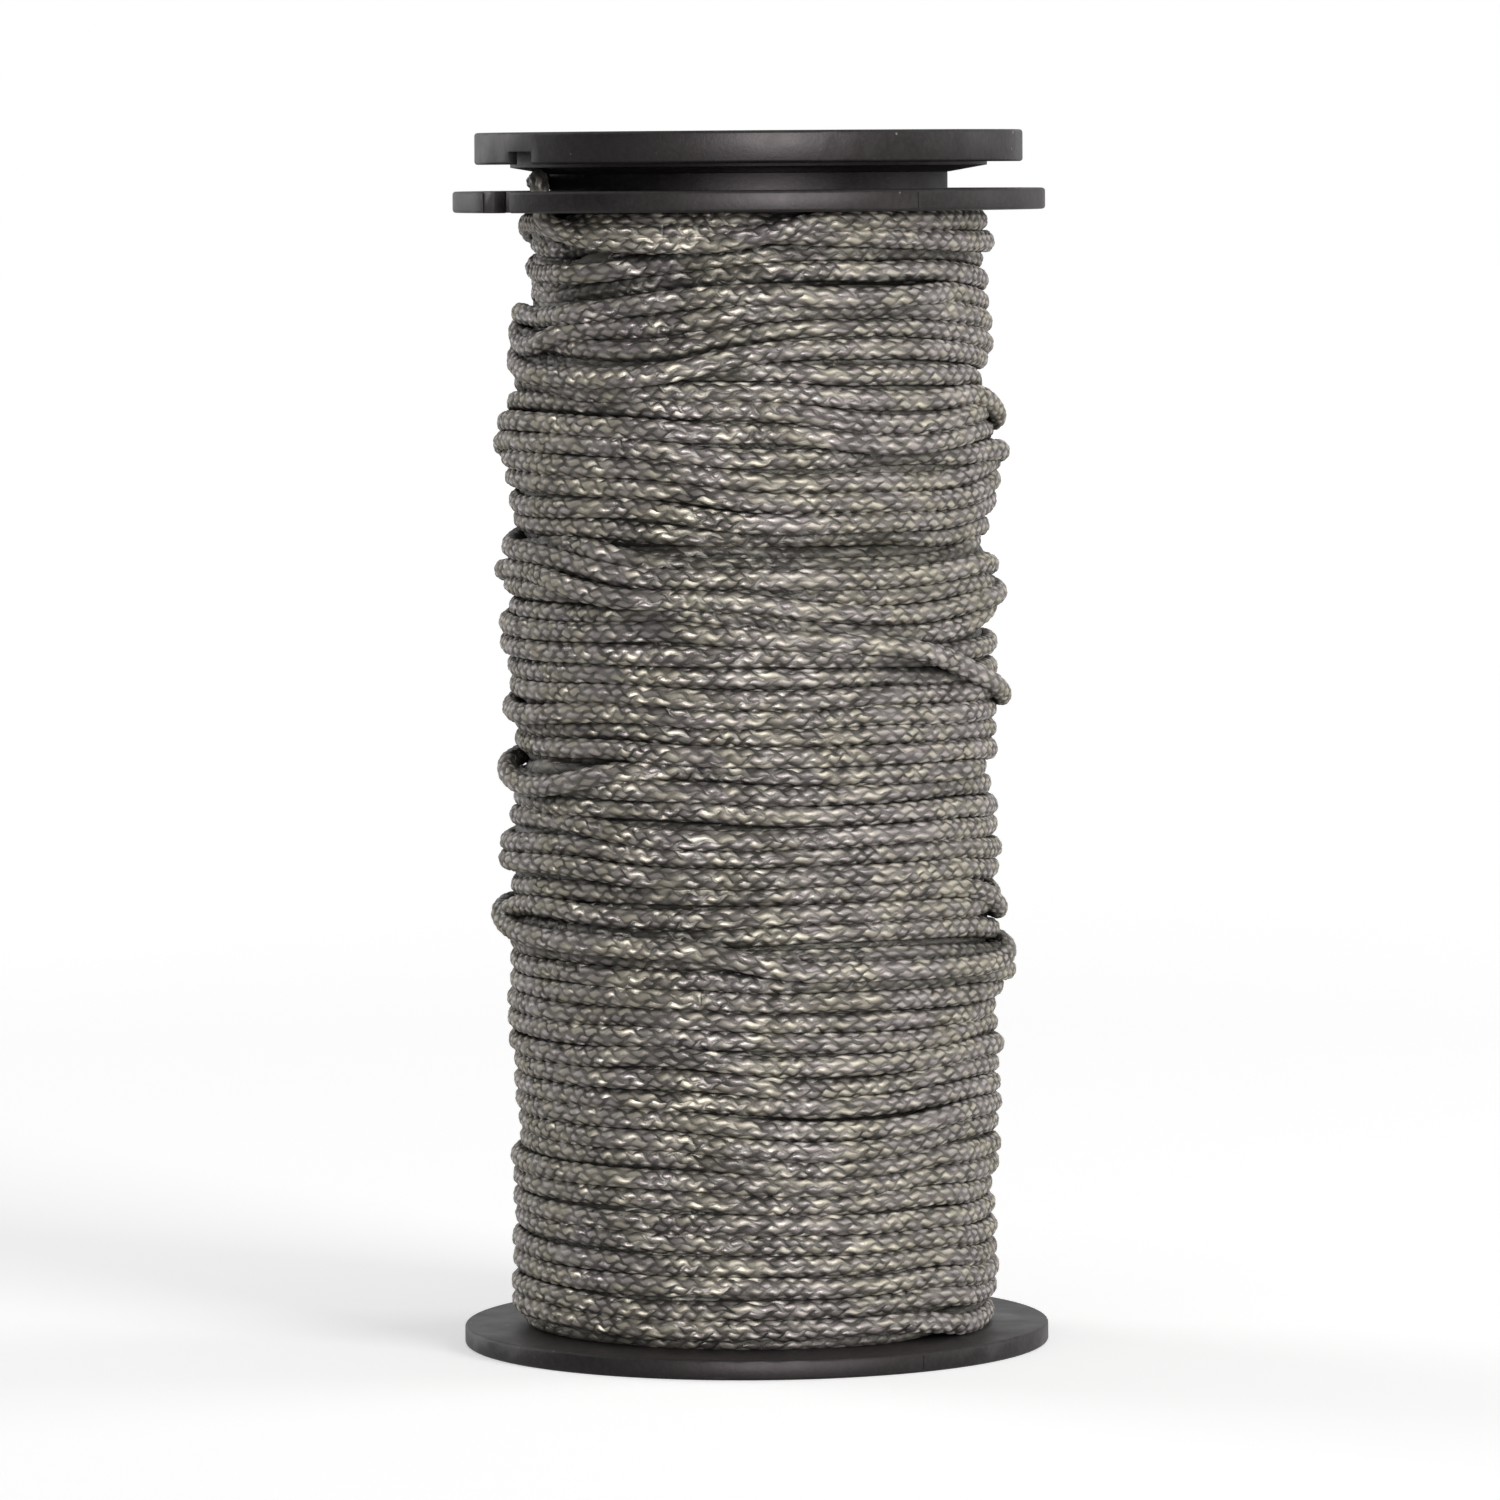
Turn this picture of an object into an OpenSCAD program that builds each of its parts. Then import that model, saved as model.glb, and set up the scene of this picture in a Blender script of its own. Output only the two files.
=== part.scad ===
// Slim line spool: a hollow barrel between two flanges, a cap that snaps up and down in the
// barrel's top end, and a braided line wound on the barrel. Millimetres. The base stands on
// z = 0, the barrel runs along +Z, and -Y is the front.

/* [Flanges] */
// Diameter of the slotted top flange
flange_d = 28; // [26:0.1:32]
// Thickness of the slotted top flange
flange_t = 1; // [0.7:0.05:1.5]
// Diameter of the base flange
base_d = 27.8; // [26:0.1:32]
// Thickness of the base flange
base_t = 0.95; // [0.8:0.05:1.5]
// Radius on the outer edges of the flanges and of the cap
edge_r = 0.15; // [0.1:0.05:0.3]
// How far the mould's parting line stands out of the flange rims
flash_h = 0.05; // [0.02:0.01:0.1]
// Width of the parting line
flash_w = 0.14; // [0.1:0.02:0.3]
// Direction of the parting line, from the front towards +X
flash_angle = 34; // [20:1:60]

/* [Barrel] */
// Outer diameter of the barrel, and of the collar above the top flange
barrel_d = 18.8; // [17.4:0.1:20]
// Wall of the barrel
barrel_wall = 1; // [0.9:0.05:1.3]
// Clear length for the line between the two flanges
winding_span = 52.8; // [45:0.1:75]

/* [Spindle bore] */
// Radius of the hole for a spindle, in the base and in the cap
spindle_r = 4; // [3:0.1:4.5]
// Wall of the sleeve round the spindle hole
sleeve_wall = 1; // [0.8:0.1:1.5]
// How far each sleeve reaches into the barrel from its end wall
sleeve_l = 4; // [2:0.5:6]
// Thickness of the ribs that join the base sleeve to the barrel
rib_t = 0.8; // [0.6:0.1:1.2]
// Height of those ribs above the base
rib_h = 2.5; // [1.5:0.5:4]
// Number of those ribs
rib_count = 4; // [3:1:6]

/* [Cap] */
// Diameter of the cap
cap_d = 25.9; // [24.5:0.1:28]
// Height of the cap's rim
cap_rim_h = 1.5; // [1.3:0.05:2]
// Wall of the cap's rim
cap_rim_wall = 0.5; // [0.4:0.05:0.8]
// Thickness of the cap's top
cap_web_t = 0.55; // [0.5:0.05:0.6]
// Height of the groove between the top flange and the cap, with the cap down
groove_h = 1.25; // [1.15:0.05:1.6]
// How far the cap lifts
cap_travel = 2; // [1:0.1:3]
// Wall of the ring under the cap that presses on the line's tail
clamp_wall = 1.8; // [1:0.1:2]
// Slope of that ring's underside
clamp_slope = 10; // [4:1:14]
// Depth of the bare seats for a round label, in the cap's top and under the base
label_depth = 0.15; // [0.1:0.05:0.2]
// Width of the plain border round each label seat
label_border = 0.9; // [0.6:0.1:1.5]

/* [Snap stem] */
// Length of the cap's stem below its top
stem_l = 8; // [6.5:0.5:10]
// Wall of the stem
stem_wall = 0.8; // [0.6:0.1:1]
// How far the bead stands out of the stem
bead_out = 0.3; // [0.2:0.05:0.4]
// Height of the bead
bead_h = 0.8; // [0.6:0.1:1]
// How far the detent ridge stands out of the floor of the bead's groove
detent_h = 0.08; // [0.04:0.02:0.1]
// Number of slits that part the stem into fingers
finger_count = 4; // [2:1:6]
// Width of each slit
finger_slit_w = 1; // [0.8:0.1:1.4]
// How far a slit stops below the cap's top
finger_root = 1.4; // [1.2:0.1:2]
// How far the key stands out of the barrel's bore
key_h = 0.6; // [0.4:0.1:0.7]

/* [Line slot] */
// Direction of the slot, from the front towards -X
slot_angle = 55.4; // [40:0.2:80]
// Width of the slot in the top flange
slot_w = 1.45; // [1.45:0.05:2.4]
// Room between the tail and the slot's inner end
slot_room = 0.5; // [0.3:0.05:0.8]
// Width of the shallow step beside the slot's mouth
step_w = 1.15; // [0.9:0.05:1.5]
// Depth of that step
step_depth = 0.12; // [0.08:0.01:0.15]
// Width of the deeper step between it and the slot
lead_w = 0.45; // [0.3:0.05:0.7]
// Depth of the deeper step
lead_depth = 0.27; // [0.2:0.01:0.5]
// Width of the slit that grips the line's loose end
grip_w = 0.65; // [0.5:0.05:0.8]
// Length of that slit, from the slot straight back
grip_l = 2.8; // [2:0.1:3.5]
// How far in from the flange's edge the slit leaves the slot
grip_in = 1.1; // [0.9:0.05:1.3]
// Width of the notch in the cap's rim, above the slot
notch_w = 1.95; // [1.2:0.05:2.4]
// Height of that notch
notch_h = 0.6; // [0.4:0.05:0.9]

/* [Line] */
// Diameter of the braided line
line_d = 0.95; // [0.8:0.05:0.95]
// Height of the tail where the cap presses it flat
pressed_h = 0.82; // [0.7:0.02:0.9]
// Depth of the line on the barrel
winding_depth = 2.4; // [1.8:0.1:2.6]
// Turns of the outer layer
loops = 24; // [12:1:24]
// How far the turns stray up and down
wander = 0.3; // [0:0.05:0.35]
// Gap between the outer layer and the layers under it
layer_gap = 0.15; // [0.12:0.01:0.3]
// Free height above the last turn, where the tail climbs to the slot
tail_room = 0.45; // [0.4:0.05:2]

/* [Start tape] */
// Width of the tape that holds the start of the line
tape_w = 6; // [4:0.5:10]
// Thickness of the tape
tape_t = 0.06; // [0.04:0.01:0.1]
// Length of the tape, as an angle round the barrel
tape_angle = 110; // [60:5:180]

/* [Fits] */
// Running clearance of the stem in the bore, and of the clamp ring round the collar
run_clear = 0.07; // [0.05:0.01:0.1]
// Clearance on each side of the key, and at the ends of the cap's travel
end_clear = 0.05; // [0.02:0.01:0.1]
// Gap between the cap and the collar that it rests on
seat_gap = 0.02; // [0.01:0.01:0.05]
// Gap round the laid-on pieces: the line, its tail and its tape
lay_gap = 0.02; // [0.01:0.01:0.05]

/* [Hidden] */
$fn = 96;

cut_over = 0.5;     // how far a cutting shape runs past what it cuts
edge_steps = 5;     // points on a rounded edge
plastic = [0.20, 0.19, 0.19];
line_colour = [0.49, 0.47, 0.45];
tape_colour = [0.85, 0.82, 0.72];

barrel_r = barrel_d / 2;
bore_r = barrel_r - barrel_wall;
flange_z = base_t + winding_span;
groove_z = flange_z + flange_t;
cap_z = groove_z + groove_h;
cap_recess = cap_rim_h - cap_web_t;
collar_top = cap_z + cap_recess - seat_gap;
sleeve_r = spindle_r + sleeve_wall;
label_in_r = sleeve_r + label_border;

stem_r = bore_r - run_clear;
stem_bottom = cap_z + cap_recess - stem_l;
bead_r = stem_r + bead_out;
bead_groove_r = bead_r + run_clear + detent_h;
bead_groove_z = stem_bottom - end_clear;
bead_groove_top = stem_bottom + bead_h + cap_travel + end_clear;
slit_top = cap_z + cap_recess - finger_root;
key_w = finger_slit_w - 2 * end_clear;
key_top = slit_top - end_clear;
clamp_in_r = barrel_r + run_clear;
clamp_out_r = clamp_in_r + clamp_wall;

slot_dir = 270 - slot_angle;
flash_dir = 270 + flash_angle;

tape_r = barrel_r + lay_gap;
core_in_r = tape_r + tape_t + lay_gap;
winding_r = barrel_r + winding_depth;
turn_r = winding_r - line_d / 2;
core_out_r = turn_r - line_d / 2 - layer_gap;
under_r = core_out_r - line_d / 2;
turn_z = base_t + lay_gap + line_d / 2;
turn_top = flange_z - tail_room - line_d / 2;
turn_end_dir = slot_dir + 36;
climb_angle = 25;   // how far round the base the outer layer takes to climb out of the core
strays_per_turn = 0.37;
loop_rings = 24;
loop_sides = 6;
tail_sides = 8;

// The tail where it is pressed flat: half its width, half its height, and its distance from the
// axis as it lies against the collar. The clamp ring's sloping underside just clears it.
pressed_a = line_d * line_d / pressed_h / 2;
pressed_b = pressed_h / 2;
pressed_r = barrel_r + lay_gap + pressed_a;
clamp_z = groove_z + 2 * lay_gap + pressed_b
    + sqrt(pow(pressed_b, 2) + pow(pressed_a * tan(clamp_slope), 2));

// The tail's way after the last turn: up through the slot, straight back to the collar, and
// round behind it. Each point has its direction from the slot, its distance out from 0 against
// the collar to 1 at the winding's surface, its height from 0 at the last turn to 1 in the
// groove, and how flat it is pressed, up to 1.
groove_line_z = groove_z + lay_gap + pressed_b;
tail_route = [
    [21, 0.84, 0, 0], [16, 0.88, 0.01, 0], [12, 0.92, 0.03, 0], [8, 0.95, 0.07, 0],
    [3.5, 0.97, 0.16, 0], [0.9, 1, 0.34, 0], [0.3, 1, 0.54, 0], [-0.3, 0.98, 0.75, 0],
    [-1.7, 0.89, 0.94, 0], [-4.2, 0.75, 1.04, 0], [-7, 0.6, 1.06, 0], [-10.5, 0.43, 1.04, 0.1],
    [-15.4, 0.27, 1.02, 0.3], [-21, 0.13, 1.01, 0.7], [-26, 0.05, 1, 1], [-32, 0.01, 1, 1],
    [-40, 0.01, 1, 1], [-50, 0.01, 1, 1], [-60, 0.01, 1, 1], [-70, 0.01, 1, 1],
    [-80, 0.01, 1, 1], [-90, 0.01, 1, 1], [-100, 0.01, 1, 1], [-110, 0.01, 1, 1],
    [-120, 0.01, 1, 1], [-130, 0.01, 1, 1], [-140, 0.01, 1, 1], [-150, 0.01, 1, 1]
];

// Profiles and routes

function arc(centre, r, from, to) =
    [for (i = [0:edge_steps]) let (a = from + (to - from) * i / edge_steps)
        centre + r * [cos(a), sin(a)]];

function at(dir, r, z) = [r * cos(dir), r * sin(dir), z];

function unit(v) = v / norm(v);

// Points of the outer layer, t turns from its start. It comes out of the core on the base,
// turns clockwise, seen from above, and climbs to turn_top.
function turn_point(t) =
    let (climbed = min(1, 360 * t / climb_angle),
         strays = sin(180 * t / loops) * wander)
    at(turn_end_dir - 360 * t, under_r + (turn_r - under_r) * climbed,
       turn_z + (turn_top - turn_z) * t / loops + strays * sin(360 * t * strays_per_turn));

// Both ends of the outer layer run straight for one diameter.
end_heading = [sin(turn_end_dir), -cos(turn_end_dir), 0];
turn_path = concat([turn_point(0) - line_d * end_heading],
                   [for (i = [0:loops * loop_rings]) turn_point(i / loop_rings)],
                   [turn_point(loops) + line_d * end_heading]);
turn_end = turn_path[len(turn_path) - 1];

tail_path = concat([turn_end, turn_end + line_d * end_heading],
                   [for (p = tail_route) at(slot_dir + p[0],
                       pressed_r + p[1] * (winding_r - pressed_r),
                       turn_top + p[2] * (groove_line_z - turn_top))]);
tail_pressed = concat([0, 0], [for (p = tail_route) p[3]]);

// The direction of a path at point i, and the ring of points round it there
function heading(path, i) =
    unit(path[min(i + 1, len(path) - 1)] - path[max(i - 1, 0)]);

function ring(path, i, sides, pressed) =
    let (t = heading(path, i),
         outward = [path[i][0], path[i][1], 0],
         n = unit(outward - (outward * t) * t),
         b = cross(t, n),
         half_w = line_d / 2 + (pressed_a - line_d / 2) * pressed,
         half_h = line_d / 2 + (pressed_b - line_d / 2) * pressed)
    [for (k = [0:sides - 1]) let (a = 360 * (k + 0.5) / sides)
        path[i] + half_w * cos(a) * n + half_h * sin(a) * b];

// The least distance between turns one apart, less the line's own diameter
function least_gap(path) =
    min([for (i = [0:len(path) - 1], j = [i + loop_rings / 2:i + 3 * loop_rings / 2])
        if (j < len(path)) norm(path[i] - path[j])]) - line_d;

echo(least_gap_between_turns = least_gap(turn_path), turns = loops);

// Shared shapes

module tube_along(path, sides, pressed = []) {
    last = len(path) - 1;
    points = [for (i = [0:last]) each ring(path, i, sides, len(pressed) > 0 ? pressed[i] : 0)];
    walls = [for (i = [0:last - 1], k = [0:sides - 1])
        let (a = i * sides + k, b = i * sides + (k + 1) % sides)
        each [[a, a + sides, b], [b, a + sides, b + sides]]];
    ends = [for (k = [1:sides - 2]) each [
        [0, k, k + 1],
        [last * sides, last * sides + k + 1, last * sides + k]]];
    polyhedron(points, concat(walls, ends));
}

module washer(in_r, out_r, h) {
    rotate_extrude() translate([in_r, 0]) square([out_r - in_r, h]);
}

// A ring with rounded outer edges
module rim_disc(in_r, out_r, h) {
    rotate_extrude() polygon(concat(
        [[in_r, 0]],
        arc([out_r - edge_r, edge_r], edge_r, -90, 0),
        arc([out_r - edge_r, h - edge_r], edge_r, 0, 90),
        [[in_r, h]]));
}

// A block from near_r to far_r along +X, centred on its width
module radial_block(near_r, far_r, w, h) {
    translate([near_r, -w / 2, 0]) cube([far_r - near_r, w, h]);
}

// Spool body: one moulding

// The slot for the line, with two steps beside its mouth and a slit that grips a loose end
module flange_slot() {
    deep_r = winding_r - line_d / 2 - slot_room;
    cut_h = flange_t + 2 * cut_over;
    translate([0, 0, flange_z - cut_over]) rotate(slot_dir) {
        radial_block(deep_r, flange_d, slot_w, cut_h);
        for (step = [[step_w, step_depth], [lead_w, lead_depth]])
            rotate(-asin((slot_w + step[0]) / flange_d))
                translate([flange_d / 2 - step[1], -step[0] / 2, 0])
                    cube([flange_d, step[0] + slot_w / 2, cut_h]);
        translate([flange_d / 2 - grip_in, -slot_w / 2, 0]) rotate(90 - slot_dir)
            radial_block(-grip_w / 2, grip_l, grip_w, cut_h);
    }
}

module parting_flash(rim_d, z, h) {
    for (side = [0, 180])
        rotate(flash_dir + side) translate([0, 0, z + edge_r])
            radial_block(rim_d / 2 - edge_r, rim_d / 2 + flash_h, flash_w, h - 2 * edge_r);
}

// The groove for the stem's bead, with the ridge that the bead snaps over
module bead_groove() {
    middle = (bead_groove_z + bead_groove_top) / 2;
    rotate_extrude() polygon([
        [bore_r - cut_over, bead_groove_z], [bead_groove_r, bead_groove_z],
        [bead_groove_r, middle - 2 * detent_h], [bead_groove_r - detent_h, middle],
        [bead_groove_r, middle + 2 * detent_h], [bead_groove_r, bead_groove_top],
        [bore_r - cut_over, bead_groove_top]]);
}

module base_ribs() {
    for (i = [0:rib_count - 1])
        rotate(slot_dir + 360 * i / rib_count) translate([0, 0, base_t / 2])
            radial_block(sleeve_r - sleeve_wall / 2, bore_r + barrel_wall / 2, rib_t,
                         base_t / 2 + rib_h);
}

module bore_key() {
    rotate(slot_dir) translate([0, 0, bead_groove_top])
        radial_block(bore_r - key_h, bore_r + barrel_wall / 2, key_w,
                     key_top - bead_groove_top);
}

module spool_body() {
    color(plastic) difference() {
        union() {
            rim_disc(spindle_r, base_d / 2, base_t);
            translate([0, 0, flange_z]) rim_disc(bore_r, flange_d / 2, flange_t);
            washer(bore_r, barrel_r, collar_top);
            washer(spindle_r, sleeve_r, base_t + sleeve_l);
            base_ribs();
            bore_key();
            parting_flash(base_d, 0, base_t);
            parting_flash(flange_d, flange_z, flange_t);
        }
        flange_slot();
        bead_groove();
        translate([0, 0, -cut_over])
            washer(label_in_r, base_d / 2 - label_border, cut_over + label_depth);
    }
}

// Snap cap: one moulding

// The ring that wedges the line's tail between its sloping underside and the top flange
module cap_clamp_ring() {
    ring_top = cap_z + cap_recess + cap_web_t / 2;
    rotate_extrude() polygon([
        [clamp_in_r, ring_top],
        [clamp_in_r, clamp_z + (clamp_in_r - pressed_r) * tan(clamp_slope)],
        [clamp_out_r, clamp_z + (clamp_out_r - pressed_r) * tan(clamp_slope)],
        [clamp_out_r, ring_top]]);
}

module cap_stem() {
    inner_r = stem_r - stem_wall;
    difference() {
        translate([0, 0, stem_bottom]) rotate_extrude() polygon([
            [inner_r, 0], [stem_r, 0], [bead_r, bead_h / 2], [bead_r, bead_h],
            [stem_r, bead_h], [stem_r, stem_l + cap_web_t / 2],
            [inner_r, stem_l + cap_web_t / 2]]);
        for (i = [0:finger_count - 1])
            rotate(slot_dir + 360 * i / finger_count)
                translate([0, 0, stem_bottom - cut_over])
                    radial_block(inner_r - cut_over, bead_r + cut_over, finger_slit_w,
                                 slit_top - stem_bottom + cut_over);
    }
}

module snap_cap() {
    rim_in_r = cap_d / 2 - cap_rim_wall;
    color(plastic) difference() {
        union() {
            translate([0, 0, cap_z]) difference() {
                rim_disc(spindle_r, cap_d / 2, cap_rim_h);
                translate([0, 0, -cut_over])
                    washer(spindle_r - cut_over, rim_in_r, cap_recess + cut_over);
            }
            cap_clamp_ring();
            cap_stem();
            translate([0, 0, cap_z + cap_recess - sleeve_l])
                washer(spindle_r, sleeve_r, sleeve_l + cap_web_t / 2);
        }
        translate([0, 0, cap_z - cut_over]) rotate(slot_dir)
            radial_block(rim_in_r - cap_rim_wall / 2, cap_d, notch_w, cut_over + notch_h);
        translate([0, 0, cap_z + cap_rim_h - label_depth])
            washer(label_in_r, cap_d / 2 - label_border, label_depth + cut_over);
    }
}

// The line

// The layers under the outer one, with the pocket that it comes out of
module line_core() {
    climb_z = (turn_top - turn_z) / loops * climb_angle / 360;
    color(line_colour) difference() {
        translate([0, 0, base_t + lay_gap])
            washer(core_in_r, core_out_r, winding_span - 2 * lay_gap);
        rotate(turn_end_dir) translate([under_r - line_d / 2 - layer_gap, -winding_r, 0])
            cube([2 * line_d, winding_r + line_d + lay_gap,
                  turn_z + climb_z + line_d / 2 + lay_gap]);
    }
}

module line_winding() {
    color(line_colour) tube_along(turn_path, loop_sides);
}

module line_tail() {
    color(line_colour) tube_along(tail_path, tail_sides, tail_pressed);
}

module start_tape() {
    color(tape_colour) translate([0, 0, base_t + lay_gap])
        rotate(turn_end_dir) rotate_extrude(angle = tape_angle)
            translate([tape_r, 0]) square([tape_t, tape_w]);
}

spool_body();
snap_cap();
line_core();
line_winding();
line_tail();
start_tape();
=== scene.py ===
import math

import bpy
import numpy as np
from mathutils import Matrix, Vector


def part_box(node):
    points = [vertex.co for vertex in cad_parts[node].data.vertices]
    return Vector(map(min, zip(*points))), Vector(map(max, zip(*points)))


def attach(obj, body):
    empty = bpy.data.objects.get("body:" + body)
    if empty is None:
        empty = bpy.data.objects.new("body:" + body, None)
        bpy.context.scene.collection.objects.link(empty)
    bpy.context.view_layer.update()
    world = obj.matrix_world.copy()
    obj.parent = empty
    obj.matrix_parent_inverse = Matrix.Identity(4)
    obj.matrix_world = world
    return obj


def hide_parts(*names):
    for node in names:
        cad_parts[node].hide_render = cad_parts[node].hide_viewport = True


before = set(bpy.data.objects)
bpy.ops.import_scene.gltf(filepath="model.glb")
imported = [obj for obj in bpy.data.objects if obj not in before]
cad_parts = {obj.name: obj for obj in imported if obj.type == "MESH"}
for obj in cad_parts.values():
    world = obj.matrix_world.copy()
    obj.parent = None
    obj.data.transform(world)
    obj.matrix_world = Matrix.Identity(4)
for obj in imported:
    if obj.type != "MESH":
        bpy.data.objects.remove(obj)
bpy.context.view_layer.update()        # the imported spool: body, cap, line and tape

mm = 0.001
fullTurn = 2 * math.pi


def report(text):
    print("spool:", text)


def pickNone():
    if bpy.context.object and bpy.context.object.mode != "OBJECT":
        bpy.ops.object.mode_set(mode="OBJECT")
    bpy.ops.object.select_all(action="DESELECT")


def pickOnly(obj):
    pickNone()
    obj.select_set(True)
    bpy.context.view_layer.objects.active = obj


# Sizes that the pieces share, in millimetres. The heights come from the line_core part.
layGap = 0.02                 # air left round laid-on pieces
flangeThick = 1
coreLow, coreHigh = (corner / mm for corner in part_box("line_core"))
spool = {
    "barrelRadius": 9.4,
    "windingRadius": 11.8,
    "baseTop": coreLow.z - layGap,
    "flangeUnder": coreHigh.z + layGap,
    "flangeTop": coreHigh.z + layGap + flangeThick,
    "slotDirection": 214.6,   # degrees from +X, counter-clockwise from above
}


# Camera: a long lens, level with the cap and tipped a little down
cameraSet = {
    "distance": 406 * mm,
    "height": 56.0 * mm,
    "aside": -0.13 * mm,
    "tipDown": 3.918,
    "roll": -0.41,
    "lens": 205.7,
    "sensor": 36,
    "clip": (0.05, 20),
}


def makeCamera(c):
    data = bpy.data.cameras.new("Camera")
    data.lens = c["lens"]
    data.sensor_width = c["sensor"]
    data.clip_start, data.clip_end = c["clip"]
    camera = bpy.data.objects.new("Camera", data)
    bpy.context.scene.collection.objects.link(camera)
    look = Matrix.Rotation(math.radians(90 - c["tipDown"]), 4, "X")
    roll = Matrix.Rotation(math.radians(c["roll"]), 4, "Z")
    place = Matrix.Translation((c["aside"], -c["distance"], c["height"]))
    camera.matrix_world = place @ look @ roll
    bpy.context.scene.camera = camera
    report("camera set")


makeCamera(cameraSet)


# Nodes: small helpers for the materials
def bareTree(owner, kind):
    # an empty node tree, with the socket that its surface goes into
    owner.use_nodes = True
    tree = owner.node_tree
    tree.nodes.clear()
    return tree, tree.nodes.new(kind).inputs["Surface"]


def newMaterial(name):
    material = bpy.data.materials.new(name)
    tree, surface = bareTree(material, "ShaderNodeOutputMaterial")
    shader = tree.nodes.new("ShaderNodeBsdfPrincipled")
    tree.links.new(shader.outputs["BSDF"], surface)
    return material, tree, shader


def setInputs(node, values):
    for name, value in values.items():
        node.inputs[name].default_value = value
    return node


def addNode(tree, kind, values=None, **options):
    node = tree.nodes.new(kind)
    for name, value in options.items():
        setattr(node, name, value)
    return setInputs(node, values or {})


def feed(tree, socket, value):
    if isinstance(value, bpy.types.NodeSocket):
        tree.links.new(value, socket)
    else:
        socket.default_value = value


def maths(tree, operation, *values):
    node = addNode(tree, "ShaderNodeMath", operation=operation)
    for socket, value in zip(node.inputs, values):
        feed(tree, socket, value)
    return node.outputs["Value"]


def vectorMaths(tree, operation, *values):
    node = addNode(tree, "ShaderNodeVectorMath", operation=operation)
    for socket, value in zip(node.inputs, values):
        feed(tree, socket, value)
    return node.outputs["Vector"]


def separated(tree, kind, value):
    # the three parts of a vector (XYZ) or of a colour (Color)
    node = tree.nodes.new("ShaderNodeSeparate" + kind)
    tree.links.new(value, node.inputs[0])
    return node.outputs[0], node.outputs[1], node.outputs[2]


def combined(tree, *values):
    node = tree.nodes.new("ShaderNodeCombineXYZ")
    for socket, value in zip(node.inputs, values):
        feed(tree, socket, value)
    return node.outputs["Vector"]


def ramp(tree, value, low, high, outLow=0.0, outHigh=1.0):
    node = tree.nodes.new("ShaderNodeMapRange")
    for name, entry in (("Value", value), ("From Min", low), ("From Max", high),
                        ("To Min", outLow), ("To Max", outHigh)):
        feed(tree, node.inputs[name], entry)
    return node.outputs["Result"]


def blendColour(tree, factor, first, second):
    node = addNode(tree, "ShaderNodeMix", data_type="RGBA")
    for socket, value in ((node.inputs[0], factor), (node.inputs[6], first),
                          (node.inputs[7], second)):
        feed(tree, socket, value)
    return node.outputs[2]


def noise(tree, place, scale, detail=2.0, rough=0.5):
    node = addNode(tree, "ShaderNodeTexNoise", {"Scale": scale, "Detail": detail,
                                                "Roughness": rough})
    feed(tree, node.inputs["Vector"], place)
    return node.outputs["Fac"]


def bumped(tree, height, distance, strength=1.0, normal=None):
    node = addNode(tree, "ShaderNodeBump", {"Strength": strength, "Distance": distance})
    feed(tree, node.inputs["Height"], height)
    if normal is not None:
        feed(tree, node.inputs["Normal"], normal)
    return node.outputs["Normal"]


# Stage: floor, dark cards, world and lamps
stageSet = {
    "floorSize": 8.0,
    "floorShade": 0.80,
    "floorGlow": (0.44, 0.87),   # near the spool, and far off
    "floorNear": (0.15, 0.9),    # how far near reaches, and where far begins
    "worldLight": 0.22,
    "cardShade": 0.03,
    "cards": [   # dark cards that the camera doesn't see: name, place, turn, size
        ("frontCard", (0.0, -1.0, 0.3), 0, 1.5),
        ("leftCard", (-0.95, -0.45, 0.3), -75, 1.2),
    ],
    "aimHeight": 0.028,          # where on the axis the lamps point
    # name, place, size, power, and whether surfaces are lit by it and mirror it
    "lamps": [
        ("leftBox", (-0.52, 0.34, 0.20), (0.30, 0.45), 1.65, True, True),
        ("rightBox", (0.60, 0.14, 0.20), (0.30, 0.45), 1.5, True, True),
        ("frontBox", (0.15, -0.78, 0.20), (0.40, 0.38), 21.0, False, True),
        ("keyBox", (0.52, -0.54, 0.30), (0.30, 0.30), 3.4, True, False),
        ("topBox", (0.0, -0.10, 0.70), (0.50, 0.50), 0.7, True, True),
    ],
}


def seenRays(tree):
    # 1 for rays from the camera, and for those that mirror or pass through something
    rays = tree.nodes.new("ShaderNodeLightPath").outputs
    return maths(tree, "MAXIMUM", rays["Is Camera Ray"],
                 maths(tree, "MAXIMUM", rays["Is Glossy Ray"], rays["Is Transmission Ray"]))


def makeFloor(s):
    pickNone()
    bpy.ops.mesh.primitive_plane_add(size=s["floorSize"], location=(0, 0, 0))
    floor = bpy.context.object
    floor.name = "floor"
    material = bpy.data.materials.new("paleFloor")
    tree, surface = bareTree(material, "ShaderNodeOutputMaterial")
    matte = addNode(tree, "ShaderNodeBsdfDiffuse", {"Color": (s["floorShade"],) * 3 + (1,)})
    glow = addNode(tree, "ShaderNodeEmission", {"Color": (1, 1, 1, 1)})
    away = addNode(tree, "ShaderNodeVectorMath", operation="LENGTH")
    tree.links.new(tree.nodes.new("ShaderNodeTexCoord").outputs["Object"], away.inputs[0])
    level = ramp(tree, away.outputs["Value"], *s["floorNear"], *s["floorGlow"])
    feed(tree, glow.inputs["Strength"], maths(tree, "MULTIPLY", seenRays(tree), level))
    both = tree.nodes.new("ShaderNodeAddShader")
    tree.links.new(matte.outputs[0], both.inputs[0])
    tree.links.new(glow.outputs[0], both.inputs[1])
    tree.links.new(both.outputs[0], surface)
    floor.data.materials.append(material)


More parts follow.
